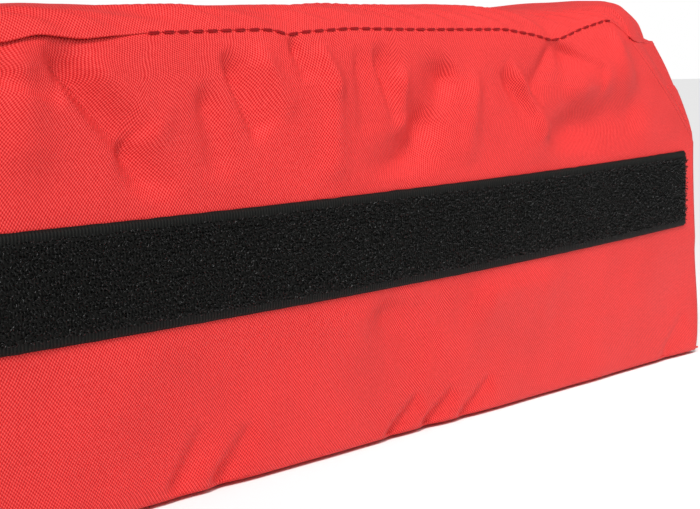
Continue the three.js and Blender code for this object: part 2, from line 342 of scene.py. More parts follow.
def newFinish(name, shader):
    finish = bpy.data.materials.new(name)
    finish.use_nodes = True
    tree = finish.node_tree
    tree.nodes.clear()
    surface = addNode(tree, "ShaderNodeBsdfPrincipled", shader)
    addNode(tree, "ShaderNodeOutputMaterial", {"Surface": surface.outputs["BSDF"]})
    return finish, tree, surface


# One wave along a direction of the cloth: pitch is the thread spacing in millimetres.
def threadWave(tree, along, pitch):
    turns = 2 * math.pi / (pitch * mm)
    scaled = addNode(tree, "ShaderNodeMath", {0: along, 1: turns}, operation="MULTIPLY")
    return addNode(tree, "ShaderNodeMath", {0: scaled.outputs[0]}, operation="SINE").outputs[0]


weave = {
    "patches": {"Scale": 34, "Detail": 4, "Roughness": 0.55},    # uneven dye, in patches about 30 mm wide
    "patchShade": {"From Min": 0.3, "From Max": 0.7, "To Min": 0.94, "To Max": 1.05},
    "slubs": {"Scale": 900, "Detail": 2, "Roughness": 0.5},      # thick places in a thread, about 1 mm long
    "slubShade": 0.3,
    "threadHeight": 0.12,
}


# Plain-woven cloth on the piece's own UV map, which is in metres of cloth. One thread pattern gives both
# the real relief and the colour: a painted highlight on each thread's crown and painted shade in the
# hollows between the threads.
def wovenCloth(name, settings):
    finish, tree, surface = newFinish(name, settings["shader"])
    place = addNode(tree, "ShaderNodeTexCoord").outputs["UV"]
    turned = addNode(tree, "ShaderNodeMapping", {"Vector": place, "Rotation": (0, 0, settings["grain"])})
    axes = addNode(tree, "ShaderNodeSeparateXYZ", {0: turned.outputs[0]})
    warp = threadWave(tree, axes.outputs["X"], settings["warp"])
    weft = threadWave(tree, axes.outputs["Y"], settings["weft"])
    height = addNode(tree, "ShaderNodeMath", {0: warp, 1: weft}, operation="MULTIPLY").outputs[0]
    patchy = addNode(tree, "ShaderNodeTexNoise", {"Vector": place, **weave["patches"]})
    slub = addNode(tree, "ShaderNodeTexNoise", {"Vector": place, **weave["slubs"]})
    # The crown power keeps the painted highlight small and bright on top of each thread.
    lifted = addNode(tree, "ShaderNodeMath", {0: height, 1: 0.5, 2: 0.5}, operation="MULTIPLY_ADD")
    crowned = {0: lifted.outputs[0], 1: settings["crown"]}
    share = addNode(tree, "ShaderNodeMath", crowned, operation="POWER").outputs[0]
    spread = {0: slub.outputs[0], 1: weave["slubShade"], 2: -weave["slubShade"] / 2}
    uneven = addNode(tree, "ShaderNodeMath", spread, operation="MULTIPLY_ADD")
    mixed = addNode(tree, "ShaderNodeMath", {0: share, 1: uneven.outputs[0]}, operation="ADD").outputs[0]
    # Painted light: the thread colour is a painted highlight on the crowns, and the hollow colour is
    # painted shade between the threads.
    pair = {"Factor": mixed, 6: colour(settings["shadedHollow"]), 7: colour(settings["thread"])}
    thread = addNode(tree, "ShaderNodeMix", pair, data_type="RGBA")
    shade = addNode(tree, "ShaderNodeMapRange", {"Value": patchy.outputs[0], **weave["patchShade"]})
    dyed = {"Color": thread.outputs[2], "Value": shade.outputs[0]}
    faded = addNode(tree, "ShaderNodeHueSaturation", dyed)
    tree.links.new(faded.outputs[0], surface.inputs["Base Color"])
    relief = {"Height": height, "Strength": settings["relief"], "Distance": weave["threadHeight"] * mm}
    bump = addNode(tree, "ShaderNodeBump", relief)
    tree.links.new(bump.outputs[0], surface.inputs["Normal"])
    return finish


# PU-coated nylon oxford with a soft broad gloss: round threads with a painted highlight on their crowns and
# painted shade in the darker hollows of the weave.
# Threads lie about 0.42 mm apart across and 0.51 mm apart up the cloth.
redNylon = wovenCloth("redNylonOxford", {
    "thread": "#FF5955", "shadedHollow": "#BE1217", "grain": math.radians(-7), "warp": 0.84, "weft": 1.02,
    "relief": 0.6, "crown": 1.6,
    "shader": {"Roughness": 0.42, "Specular IOR Level": 0.09},
})
# Woven polyester tape on the zip and over the seams: dense, dull and a little darker than the panels, with
# a painted highlight on its threads and painted shade in the hollows between them.
redTape = wovenCloth("redPolyesterTape", {
    "thread": "#C92C30", "shadedHollow": "#9E1D22", "grain": 0, "warp": 0.8, "weft": 0.5, "relief": 0.5,
    "crown": 1.0,
    "shader": {"Roughness": 0.75, "Specular IOR Level": 0.25, "Sheen Weight": 0.2, "Sheen Roughness": 0.5},
})
# Black polypropylene webbing: fat ribs across, slightly shiny filaments, with a painted highlight on the
# ribs and painted shade in the hollows between them.
blackWebbing = wovenCloth("blackPolypropyleneWebbing", {
    "thread": "#2A2A2C", "shadedHollow": "#0B0B0C", "grain": 0, "warp": 1.9, "weft": 1.5, "relief": 1.0,
    "crown": 1.0,
    "shader": {"Roughness": 0.55, "Specular IOR Level": 0.4, "Sheen Weight": 0.15, "Sheen Roughness": 0.4},
})
# Woven selvage and ground of hook tape: fine ribs 0.45 mm apart across the tape, nearly black, with a
# painted highlight on the ribs and painted shade in the hollows between them.
hookGround = wovenCloth("blackNylonHookGround", {
    "thread": "#1D1E1B", "shadedHollow": "#030303", "grain": 0, "warp": 0.9, "weft": 6.4, "relief": 1.0,
    "crown": 1.5,
    "shader": {"Roughness": 0.7, "Specular IOR Level": 0.15},
})
# Glass-fibre cloth with a thin silicone coat: pale cream, coarse plain weave, low gloss, with a painted
# highlight on the threads and painted shade in the hollows between them.
glassCloth = wovenCloth("siliconeCoatedGlassCloth", {
    "thread": "#EFEBDF", "shadedHollow": "#CFC8B6", "grain": 0, "warp": 1.6, "weft": 1.6, "relief": 0.6,
    "crown": 1.0,
    "shader": {"Roughness": 0.6, "Specular IOR Level": 0.4},
})


moulded = {"glossSpread": 0.08, "grainHeight": 0.05}


# A moulded, cast or printed surface: fine grain in the gloss and the relief. Grain is in millimetres.
def solidFinish(name, base, shader, grain, relief):
    finish, tree, surface = newFinish(name, {"Base Color": colour(base), **shader})
    place = addNode(tree, "ShaderNodeTexCoord").outputs["Object"]
    speck = addNode(tree, "ShaderNodeTexNoise", {"Vector": place, "Scale": 1 / (grain * mm), "Detail": 3})
    gloss = addNode(tree, "ShaderNodeMapRange", {
        "Value": speck.outputs[0],
        "To Min": shader["Roughness"] - moulded["glossSpread"],
        "To Max": shader["Roughness"] + moulded["glossSpread"],
    })
    tree.links.new(gloss.outputs[0], surface.inputs["Roughness"])
    bumps = {"Height": speck.outputs[0], "Strength": relief, "Distance": moulded["grainHeight"] * mm}
    bump = addNode(tree, "ShaderNodeBump", bumps)
    tree.links.new(bump.outputs[0], surface.inputs["Normal"])
    return finish


# Extruded nylon monofilament: shiny black bristle, each hook catching a small light.
bristleShader = {"Roughness": 0.22, "Specular IOR Level": 0.32}
hookBristle = solidFinish("blackNylonBristle", "#040404", bristleShader, 0.6, 0.2)
# Coiled polyester monofilament of the zip: smooth, with a satin gloss.
coilShader = {"Roughness": 0.38, "Specular IOR Level": 0.5}
coilFilament = solidFinish("redPolyesterCoil", "#B5242A", coilShader, 0.5, 0.2)
# Bonded polyester sewing thread: twisted and dull, darker than the cloth it holds.
threadShader = {"Roughness": 0.6, "Specular IOR Level": 0.2}
redThread = solidFinish("redSewingThread", "#A80E16", threadShader, 0.3, 0.5)
blackThread = solidFinish("blackSewingThread", "#151516", {"Roughness": 0.6}, 0.3, 0.5)
# Die-cast zinc with bright nickel plate: mirror-like, faintly rippled from the casting.
platedZinc = solidFinish("nickelPlatedZinc", "#A6A8AC", {"Roughness": 0.27, "Metallic": 1.0}, 2.5, 0.25)
# Uncoated card: off-white and matt, with a faint tooth.
plainCard = solidFinish("uncoatedCard", "#F1EFE8", {"Roughness": 0.75}, 0.4, 0.4)
print("finishes made")

# Ways of working.


def startAfresh():
    if bpy.context.object and bpy.context.object.mode != "OBJECT":
        bpy.ops.object.mode_set(mode="OBJECT")
    bpy.ops.object.select_all(action="DESELECT")


def selectOnly(piece):
    startAfresh()
    piece.select_set(True)
    bpy.context.view_layer.objects.active = piece


def applyModifier(piece, kind, **settings):
    selectOnly(piece)
    modifier = piece.modifiers.new(kind.title(), kind)
    for name, value in settings.items():
        setattr(modifier, name, value)
    bpy.ops.object.modifier_apply(modifier=modifier.name)


def dress(piece, name, finish, body=None):
    piece.name = name
    piece.data.name = name
    piece.data.materials.clear()
    piece.data.materials.append(finish)
    if body:
        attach(piece, body)
    return piece


# A sheet of cloth: a grid whose points are moved to place(across, up), both from 0 to 1, in millimetres.
# Its UV map is the distance along the cloth in metres, so a weave keeps its size on every part of it.
def clothSheet(columns, rows, place, thickness, turned=False, offset=-1):
    startAfresh()
    bpy.ops.mesh.primitive_grid_add(x_subdivisions=columns, y_subdivisions=rows, size=2)
    sheet = bpy.context.object
    spots = {}
    points = np.zeros((rows + 1, columns + 1, 3))
    for vertex in sheet.data.vertices:
        column = round((vertex.co.x + 1) / 2 * columns)
        row = round((vertex.co.y + 1) / 2 * rows)
        spots[vertex.index] = (row, column)
        points[row, column] = place(column / columns, row / rows)
    for vertex in sheet.data.vertices:
        vertex.co = Vector(points[spots[vertex.index]]) * mm
    along = np.zeros((rows + 1, columns + 1))
    along[:, 1:] = np.linalg.norm(np.diff(points, axis=1), axis=2).cumsum(axis=1)
    along -= along[:, [columns // 2]]
    up = np.zeros((rows + 1, columns + 1))
    up[1:] = np.linalg.norm(np.diff(points, axis=0), axis=2).cumsum(axis=0)
    layer = sheet.data.uv_layers[0].data
    for loop in sheet.data.loops:
        row, column = spots[loop.vertex_index]
        layer[loop.index].uv = (along[row, column] * mm, up[row, column] * mm)
    bpy.ops.object.shade_smooth()
    if turned:
        bpy.ops.object.mode_set(mode="EDIT")
        bpy.ops.mesh.select_all(action="SELECT")
        bpy.ops.mesh.flip_normals()
        bpy.ops.object.mode_set(mode="OBJECT")
    applyModifier(sheet, "SOLIDIFY", thickness=thickness * mm, offset=offset)
    return sheet


# Copies one small model to many places as a single piece.
def copies(source, places):
    coords = np.array([vertex.co for vertex in source.data.vertices])
    faces = [list(face.vertices) for face in source.data.polygons]
    points, polygons = [], []
    for index, place in enumerate(places):
        turn = np.array(place)
        points.append(coords @ turn[:3, :3].T + turn[:3, 3])
        polygons.extend([corner + index * len(coords) for corner in face] for face in faces)
    mesh = bpy.data.meshes.new(source.name)
    mesh.from_pydata(np.vstack(points).tolist(), [], polygons)
    piece = bpy.data.objects.new(source.name, mesh)
    bpy.context.scene.collection.objects.link(piece)
    bpy.data.objects.remove(source)
    selectOnly(piece)
    bpy.ops.object.shade_smooth()
    return piece


# Stands a copy at a point, with its length along one direction and its face towards another.
def standing(point, along, facing, size=1.0):
    x = Vector(along).normalized()
    z = (Vector(facing) - Vector(facing).dot(x) * x).normalized()
    y = z.cross(x)
    turn = Matrix((x, y, z)).transposed().to_4x4()
    return Matrix.Translation(Vector(point) * mm) @ turn @ Matrix.Scale(size, 4)


# One stitch: a short rounded thread lying along X.
def stitchModel(length, thickness):
    startAfresh()
    bpy.ops.mesh.primitive_cylinder_add(
        vertices=6, radius=thickness / 2 * mm, depth=length * mm, rotation=(0, math.pi / 2, 0)
    )
    stitch = bpy.context.object
    bpy.ops.object.transform_apply(rotation=True)
    bpy.ops.object.mode_set(mode="EDIT")
    bpy.ops.mesh.select_all(action="SELECT")
    bpy.ops.mesh.bevel(offset=thickness * 0.3 * mm, segments=1)
    bpy.ops.object.mode_set(mode="OBJECT")
    return stitch


# Stitches along a line given by a function of distance, with gaps where the thread dips into the cloth.
def stitchLine(name, sewing, lineAt, facing, body):
    places = []
    reach = sewing["length"] / 2
    for i in range(int((sewing["to"] - sewing["from"]) / sewing["pitch"])):
        middle = sewing["from"] + (i + 0.5) * sewing["pitch"]
        near, far = (Vector(lineAt(middle + step)) for step in (-reach, reach))
        places.append(standing((near + far) / 2, far - near, facing))
    stitches = copies(stitchModel(sewing["length"], sewing["thread"]), places)
    return dress(stitches, name, redThread, body)


boxStitch = {"pitch": 2.8, "thread": 0.5, "length": 0.76, "gap": 0.12}    # the last two in pitches
boxLines = ((0, 1), (1, 2), (2, 3), (3, 0), (0, 2), (1, 3))               # four sides, then the cross


# Boxes of stitching with a cross, each given by its four corners in turn.
def stitchBoxes(name, boxes, facing, finish, body):
    places = []
    for corners in boxes:
        for first, last in boxLines:
            start, end = Vector(corners[first]), Vector(corners[last])
            count = max(1, round((end - start).length / boxStitch["pitch"]))
            for i in range(count):
                shares = (boxStitch["gap"], 1 - boxStitch["gap"])
                near, far = (start.lerp(end, (i + share) / count) for share in shares)
                places.append(standing((near + far) / 2, far - near, facing))
    stitch = stitchModel(boxStitch["pitch"] * boxStitch["length"], boxStitch["thread"])
    stitches = copies(stitch, places)
    return dress(stitches, name, finish, body)


# Front wall.


def frontPoint(across, up):
    side = sideOf(across - 0.5)
    share = abs(2 * across - 1)
    topX = side * share * wallEdge(seamHeight, side)
    z = pouch["hem"] + up * (seamAt(topX) - pouch["hem"])
    x = side * share * wallEdge(z, side)
    return x, frontFace(x, z), z


frontWall = clothSheet(340, 120, frontPoint, pouch["cloth"])
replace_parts(dress(frontWall, "front_wall_cloth", redNylon, "pouch"), "front_wall")
print("front wall made")

# Slack front corners.


def cornerPoint(side):
    def place(across, up):
        z = pouch["hem"] + up * (seamHeight - pouch["hem"])
        start = frontEdge(z, side)
        y = start + across * (zipStart + 0.3 - start)
        return endFace(y, z, side), y, z
    return place


for side, word in ((1, "right"), (-1, "left")):
    corner = clothSheet(36, 80, cornerPoint(side), pouch["cloth"], turned=side < 0)
    dress(corner, f"{word}_corner_cloth", redNylon, "pouch")
    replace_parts(corner, f"{word}_corner_piece")
print("corners made")

# End and rear walls.


def gussetPoint(low, high):
    def place(across, up):
        z = low + up * (high - low)
        return wallPoint(across * zipRun, z)
    return place


lowerWall = clothSheet(330, 40, gussetPoint(pouch["hem"], gussetHigh.z), pouch["cloth"])
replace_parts(dress(lowerWall, "lower_wall_cloth", redNylon, "pouch"), "lower_gusset")
upperWall = clothSheet(330, 12, gussetPoint(upperLow.z, seamHeight), pouch["cloth"])
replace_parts(dress(upperWall, "upper_wall_cloth", redNylon, "lid"), "upper_gusset")
print("end and rear walls made")

# Lid and floor panels.

lid = {
    "crown": 115.2,              # height behind the front roll
    "crownFrom": 40,
    "rollRise": 4.2,             # the roll has most of its height this far in from the seam
    "rollDepth": 14,
    "dome": 1.6,
    "domeFrom": -50,
    "endFall": 3.5,              # the roll sinks towards the two ends, over this reach
    "endFallReach": 34,
    "overlap": 0.25,             # the folded edge stands proud of the front wall
    "openOverlap": 1.2,          # and further where it isn't topstitched
    "openUpTo": (-96, -78),
    "cornerOverlap": 0.4,
    "cornerDroop": 0.8,          # the edge turns down over the slack front corners
    "edgeLevels": (8, 40),       # behind the seam the edge's wander dies out over this
    "slackLine": (137, 1.66),    # the slack right corner pulls the panel down along a slanting line
    "pucker": 4.0,
    "puckerPitch": 7.0,
    "puckerRun": 30,
    "puckerReach": 8,
    "puckerLean": 2.4,           # the gathers run down to the right
    "puckerLess": 0.8,           # and lose this much behind the roll and at the corners
    "puckerDepths": (14, 40),
}

# The soft roll behind the top seam is higher towards the right end, where the lid stands up in an ear.
rollLine = [
    (-170, 110.8), (-109, 112.0), (-54, 113.5), (20, 114.8), (66, 115.2), (99, 115.3), (119, 116.6),
    (142, 119.6), (151, 119.2), (170, 116.5),
]


# Columns of cloth lie closer together near the two ends.
def columnAt(across):
    return halfLength * math.sin((across - 0.5) * math.pi)


# How far back the rear wall lies, with its rounded corners.
def rearEdge(x):
    radius = pouch["rearRadius"]
    past = max(0, abs(x) - halfLength + radius)
    return halfDepth - radius + math.sqrt(max(0, radius ** 2 - past ** 2))


# Where the lid's edge lies at one place along the pouch: front and rear.
def lidEdges(x):
    side = sideOf(x)
    inner = wallEdge(seamHeight, side)
    gone = pull(seamHeight, side)
    if abs(x) <= inner:
        front = frontFace(x, seamAt(x))
    else:
        share = float(np.interp((halfLength - abs(x)) / gone, slackSteps, shareSteps))
        front = frontEdge(seamHeight, side) + pouch["pullDepth"] * gone * share
    return front, rearEdge(x)


# Rows of cloth lie closest together in the front roll.
def rowAt(front, rear, back):
    if back >= 1:
        return rear
    eased = 0.5 - 0.5 * math.cos(math.pi * back)
    return front + (rear - front) * (0.35 * back ** 1.6 + 0.65 * eased)


def lidPoint(across, back):
    x = columnAt(across)
    front, rear = lidEdges(x)
    atCorner = smooth(-3, 3, abs(x) - wallEdge(seamHeight, sideOf(x)))
    unsewn = 1 - smooth(*lid["openUpTo"], x)
    overlap = lid["overlap"] + (lid["openOverlap"] - lid["overlap"]) * unsewn
    front -= overlap + lid["cornerOverlap"] * atCorner
    y = rowAt(front, rear, back)
    behind = y - front

    # How far in from the seam this place is; the slack corner keeps it near the seam for longer.
    inFromEnd = halfLength - abs(x)
    away = min(behind, rear - y, inFromEnd)
    slackFrom, slackSlope = lid["slackLine"]
    slack = slackFrom - x + slackSlope * (y - frontCorner)
    away = min(away, max(0.25 * away, 0.75 * slack))

    # The panel rises from its edge, over the front roll, to the crown.
    edge = seamAt(x) if abs(x) < wallEdge(seamHeight, 1) + 6 else seamHeight
    edge += (seamHeight - edge) * smooth(*lid["edgeLevels"], behind) - lid["cornerDroop"] * atCorner
    rise = 1 - math.exp(-max(0, away) / lid["rollRise"])
    dome = (1 - (x / halfLength) ** 4) * (1 - ((2 * y - front - rear) / (rear - front)) ** 4)
    crown = heightAt(x, rollLine)
    crown += (lid["crown"] - crown) * smooth(front + lid["rollDepth"], lid["crownFrom"], y)
    crown += lid["dome"] * dome * smooth(front, lid["domeFrom"], y)
    crown -= lid["endFall"] * (1 - smooth(0, lid["endFallReach"], inFromEnd))
    z = edge + (crown - edge) * rise

    # Gathers along the seam, and slow waves further back.
    along = (x + lid["puckerLean"] * away) / lid["puckerPitch"]
    gather = noise.noise(Vector((along, away / lid["puckerRun"], 4.4)))
    gather *= 1 - lid["puckerLess"] * smooth(*lid["puckerDepths"], behind)
    gather *= 1 - lid["puckerLess"] * atCorner
    z += lid["pucker"] * gather * math.exp(-max(0, away) / lid["puckerReach"]) * rise
    z += wave("lid", x, y) * rise * (0.5 + smooth(-90, -40, y))
    z += wave("lidFine", x, y) * rise
    return x, y, z


lidPanel = clothSheet(340, 140, lidPoint, pouch["cloth"])
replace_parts(dress(lidPanel, "lid_cloth", redNylon), "lid_panel")
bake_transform(lidPanel)


floor = {"clear": 0.02, "edgeLift": 0.8, "edgeReach": 2}    # the panel lifts a little at its sewn edge


def floorPoint(across, back):
    x = columnAt(across)
    rear = rearEdge(x)
    hem = pouch["hem"]
    front = frontFace(x, hem) if abs(x) < wallEdge(0, sideOf(x)) - 4 else frontEdge(hem, sideOf(x))
    y = front + (rear - front) * back
    away = min(y - front, rear - y, halfLength - abs(x))
    x *= 1 + pouch["flare"] / halfLength * (1 - smooth(*pouch["flareDepths"], y))
    return x, y, floor["clear"] + floor["edgeLift"] * math.exp(-away / floor["edgeReach"])


floorPanel = clothSheet(120, 90, floorPoint, pouch["cloth"], turned=True)
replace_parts(dress(floorPanel, "back_panel_cloth", redNylon, "pouch"), "back_panel")
print("lid and floor panels made")

# Top seam stitching.

topStitch = {
    "from": -78,
    "to": 118,
    "pitch": 4.4,
    "length": 3.1,
    "thread": 0.8,
    "proud": 0.2,
    "below": 0.15,
}


def topStitchAt(x):
    return x, frontFace(x, seamAt(x)) - topStitch["proud"], seamAt(x) - topStitch["below"]


stitchLine("hinge_topstitch", topStitch, topStitchAt, (0, -1, 0.3), "pouch")

# Hook strip.

strip = {
    "length": stripHigh.x - stripLow.x,
    "width": stripHigh.z - stripLow.z,
    "selvage": 1.6,
    "base": 0.8,
    "thickness": 0.7,
    "proud": 0.25,
    "edgeRound": 0.35,
    "edgeWander": 0.12,
    "rise": (-0.5, 1.9, 1.1),      # sewn on a little higher towards the right end, in a slow curve
    "hookPitch": 0.92,             # coarser than a real tape's, so that single hooks show
    "hookStagger": 0.3,
    "hookWander": 0.22,
    "hookTilt": 0.14,
    "hookTurn": 0.3,
    "hookSize": (0.85, 1.15),
    "bristle": 0.26,
    "root": 0.55,
    "curl": [(0.1, 0.38, 0.6), (0.34, 0.2, 0.9), (0.3, -0.24, 0.9)],    # sideways, up, turn
    "frayed": 46,
    "frayLength": 1.6,
    "frayThread": 0.13,
}


def stripRise(x):
    share = x / halfLength
    level, slope, curve = strip["rise"]
    return slope * share + curve * share ** 2 + level


def stripFace(x, up, out=0):
    z = stripMiddle + stripRise(x) + up
    return x, frontFace(x, z) - out, z


def stripPoint(across, up):
    x = (across - 0.5) * strip["length"]
    height = (up - 0.5) * strip["width"] + strip["edgeWander"] * noise.noise(Vector((x / 5, up, 4)))
    edge = min(1, (strip["width"] / 2 - abs(height)) / strip["edgeRound"])
    return stripFace(x, height, strip["proud"] + strip["base"] * math.sqrt(max(0.02, edge)))


stripBase = clothSheet(320, 30, stripPoint, strip["thickness"])
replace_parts(dress(stripBase, "hook_strip_ground", hookGround, "pouch"), "hook_strip")


# One hook: a bristle that rises and curls over, drawn out in short lengths.
def hookModel():
    startAfresh()
    bpy.ops.mesh.primitive_cylinder_add(
        vertices=3, radius=strip["bristle"] / 2 * mm, depth=strip["root"] * mm,
        location=(0, 0, strip["root"] / 2 * mm), end_fill_type="NOTHING",
    )
    hook = bpy.context.object
    bpy.ops.object.transform_apply(location=True)
    for vertex in hook.data.vertices:
        vertex.select = vertex.co.z > strip["root"] / 2 * mm
    for edge in hook.data.edges:
        edge.select = all(hook.data.vertices[end].select for end in edge.vertices)
    for face in hook.data.polygons:
        face.select = False
    bpy.ops.object.mode_set(mode="EDIT")
    bpy.ops.mesh.select_mode(type="VERT")
    at = Vector((0, 0, strip["root"]))
    for sideways, rise, turn in strip["curl"]:
        step = Vector((sideways, 0, rise))
        at += step
        bpy.ops.mesh.extrude_region_move(TRANSFORM_OT_translate={"value": step * mm})
        bpy.ops.transform.rotate(
            value=-turn, orient_axis="Y", orient_type="GLOBAL", center_override=at * mm,
        )
    bpy.ops.object.mode_set(mode="OBJECT")
    return hook


def hookPlaces():
    places = []
    pitch = strip["hookPitch"]
    wander = strip["hookWander"]
    tilt = strip["hookTilt"]
    half = strip["width"] / 2 - strip["selvage"]
    columns = int((strip["length"] - 0.6) / pitch)
    rows = int(2 * half / pitch)
    for column in range(columns):
        for row in range(rows):
            x = (column + 0.5 - columns / 2) * pitch + random.uniform(-wander, wander)
            x += strip["hookStagger"] * (row % 2)
            up = (row + 0.5 - rows / 2) * pitch + random.uniform(-wander, wander)
            turn = random.choice((0.25, 0.75, 1.25, 1.75)) * math.pi + random.gauss(0, strip["hookTurn"])
            lean = Vector((math.cos(turn), 0, math.sin(turn)))
            facing = (random.gauss(0, tilt), -1, random.gauss(0, tilt))
            size = random.uniform(*strip["hookSize"])
            places.append(standing(stripFace(x, up, strip["base"]), lean, facing, size))
    return places


dress(copies(hookModel(), hookPlaces()), "hook_field", hookBristle, "pouch")


# The cut right end of the strip is a little frayed.
def frayPlaces():
    places = []
    for i in range(strip["frayed"]):
        up = random.uniform(-0.49, 0.49) * strip["width"]
        root = Vector(stripFace(strip["length"] / 2 - 0.1, up, 0.6))
        way = Vector((1, random.gauss(-0.1, 0.25), random.gauss(0, 0.7)))
        places.append(standing(root + way.normalized() * 0.6, way, (0, -1, 0), random.uniform(0.6, 1.1)))
    return places


frayed = copies(stitchModel(strip["frayLength"], strip["frayThread"]), frayPlaces())
dress(frayed, "frayed_ends", hookBristle, "pouch")
print("hook strip made")

# Zip.

chain = {
    "gauge": 2.75,         # how far each coil reaches across
    "pitch": 1.45,
    "filament": 0.5,
    "flatness": 0.86,
    "slant": 0.06,         # each turn stands a little askew, as a coil's do
    "inset": 0.15,         # the coil lies this far inside the cloth, and the tape further in
    "tapeInset": 1.5,
    "tape": 9.6,
    "tapeThickness": 0.7,
    "overTape": 0.25,
}
zipStitch = {
    "from": 1.5,
    "to": zipRun - 1.5,
    "pitch": 3.4,
    "length": 2.6,
    "thread": 0.45,
    "proud": 0.18,
    "fromEdge": 2.6,
}
slitHalf = (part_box("upper_zip_coil")[0].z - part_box("lower_zip_coil")[1].z) / 2 / mm


# One turn of the coil: a flattened loop that stands across the tape.
def coilTurn():
    startAfresh()
    bpy.ops.mesh.primitive_torus_add(
        major_segments=8, minor_segments=4, major_radius=(chain["gauge"] - chain["filament"]) / 2 * mm,
        minor_radius=chain["filament"] / 2 * mm, rotation=(0, math.pi / 2, 0),
    )
    turn = bpy.context.object
    bpy.ops.object.transform_apply(rotation=True)
    bpy.ops.object.mode_set(mode="EDIT")
    bpy.ops.mesh.select_all(action="SELECT")
    bpy.ops.transform.resize(value=(1, 1, chain["flatness"]), center_override=(0, 0, 0))
    bpy.ops.object.mode_set(mode="OBJECT")
    return turn


def coilPlaces(middle, shift):
    places = []
    for i in range(int(zipRun / chain["pitch"])):
        run = (i + 0.5 + shift) * chain["pitch"]
        at = wallPoint(run, middle, -chain["inset"])
        ahead = wallPoint(run + 0.3, middle, -chain["inset"]) - at
        outward = Vector((ahead.y, -ahead.x, 0))
        places.append(standing(at, ahead + Vector((0, 0, chain["slant"])), outward))
    return places


for word, side, body in (("lower", -1, "pouch"), ("upper", 1, "lid")):
    edge = zipHeight + side * (slitHalf - chain["overTape"])
    middle = edge + side * chain["gauge"] / 2
    coil = copies(coilTurn(), coilPlaces(middle, 0.5 if side > 0 else 0))
    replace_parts(dress(coil, f"{word}_coil_turns", coilFilament, body), f"{word}_zip_coil")

    def tapePoint(across, up):
        near = zipHeight + side * slitHalf
        low = near if side > 0 else near - chain["tape"]
        return wallPoint(across * zipRun, low + up * chain["tape"], -chain["tapeInset"])

    tape = clothSheet(330, 6, tapePoint, chain["tapeThickness"])
    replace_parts(dress(tape, f"{word}_woven_tape", redTape, body), f"{word}_zip_tape")
    clothEdge = gussetHigh.z if side < 0 else upperLow.z
    row = clothEdge + side * zipStitch["fromEdge"]

    def zipStitchAt(run):
        return wallPoint(run, row, zipStitch["proud"])

    stitchLine(f"{word}_zip_topstitch", zipStitch, zipStitchAt, (0.3, 0.3, side), body)


patchCloth = {"thickness": 0.5, "proud": 0.35, "fold": 0.6, "rim": 0.09, "turnedUnder": 4}

# Patches of the same cloth, folded under all round, close the two ends of the zip.
for side, word in ((1, "right"), (-1, "left")):
    patchLow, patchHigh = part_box(f"{word}_zip_end_patch")

    def patchPoint(across, up):
        y = (patchLow.y + (patchHigh.y - patchLow.y) * across) / mm
        z = (patchLow.z + (patchHigh.z - patchLow.z) * up) / mm
        edge = min(across, 1 - across, up, 1 - up)
        lift = patchCloth["proud"] + patchCloth["fold"] * smooth(0, patchCloth["rim"], edge)
        return endFace(y, z, side) + side * lift, y, z

    patch = clothSheet(24, 24, patchPoint, patchCloth["thickness"], turned=side < 0)
    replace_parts(dress(patch, f"{word}_end_patch", redNylon, "pouch"), f"{word}_zip_end_patch")
print("zip made")

# Sliders and pull tabs.


# A cast part keeps the CAD solid's shape, with its edges rounded as die casting leaves them.
def castCopy(node, name, rounding, body):
    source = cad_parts[node]
    startAfresh()
    piece = source.copy()
    piece.data = source.data.copy()
    bpy.context.scene.collection.objects.link(piece)
    piece.hide_render = False
    selectOnly(piece)
    bpy.ops.object.mode_set(mode="EDIT")
    bpy.ops.mesh.select_all(action="SELECT")
    bpy.ops.mesh.remove_doubles(threshold=0.00001)
    bpy.ops.mesh.dissolve_limited(angle_limit=math.radians(1))
    bpy.ops.object.mode_set(mode="OBJECT")
    applyModifier(piece, "BEVEL", width=rounding * mm, segments=2, limit_method="ANGLE")
    bpy.ops.object.shade_smooth_by_angle(angle=math.radians(35))
    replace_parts(dress(piece, name, platedZinc, body), node)
    return piece


for side, word in ((1, "right"), (-1, "left")):
    castCopy(f"{word}_slider_body", f"{word}_cast_slider", 0.35, f"{word}_slider")
    castCopy(f"{word}_slider_bridge", f"{word}_cast_bridge", 0.3, f"{word}_slider")
    castCopy(f"{word}_pull_tab", f"{word}_cast_tab", 0.3, f"{word}_pull")
print("sliders made")

# Carry handle.

handleLow, handleHigh = cadCorners("handle_webbing")
handle = {
    "span": 160,
    "rise": handleHigh.y - halfDepth - 1.9,    # the grip stands off the rear wall
    "width": handleHigh.z - handleLow.z,
    "middle": (handleHigh.z + handleLow.z) / 2,
    "end": cadCorners("right_handle_end")[1].x,
    "thickness": 1.5,
    "stand": 1.75,             # from the wall to the webbing's outer face
    "sewnFrom": (60, 80),      # the webbing follows the wall's waves from here out
    "turnStart": 62,
    "turnEnd": 45,
    "stitchInset": {"inner": 3, "outer": 2.5, "edge": 2.2},
    "stitchProud": 0.15,
}


def handleRise(x):
    if abs(x) < handle["span"] / 2:
        return handle["rise"] * math.cos(math.pi * x / handle["span"]) ** 2
    return 0


def handlePoint(side):
    def place(across, up):
        x = side * handle["end"] * across
        z = handle["middle"] + side * (0.5 - up) * handle["width"]
        wall = wallPoint(zipRun / 2 - x, z).y
        sewn = smooth(*handle["sewnFrom"], abs(x))
        y = wall * sewn + halfDepth * (1 - sewn)
        return x, y + handleRise(x) + handle["stand"], z
    return place


for side, word in ((1, "right"), (-1, "left")):
    half = clothSheet(90, 14, handlePoint(side), handle["thickness"])
    dress(half, f"{word}_handle_half", blackWebbing)
    nodes = [f"{word}_handle_end"] + (["handle_webbing"] if side > 0 else [])
    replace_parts(half, *nodes)
    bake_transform(half)


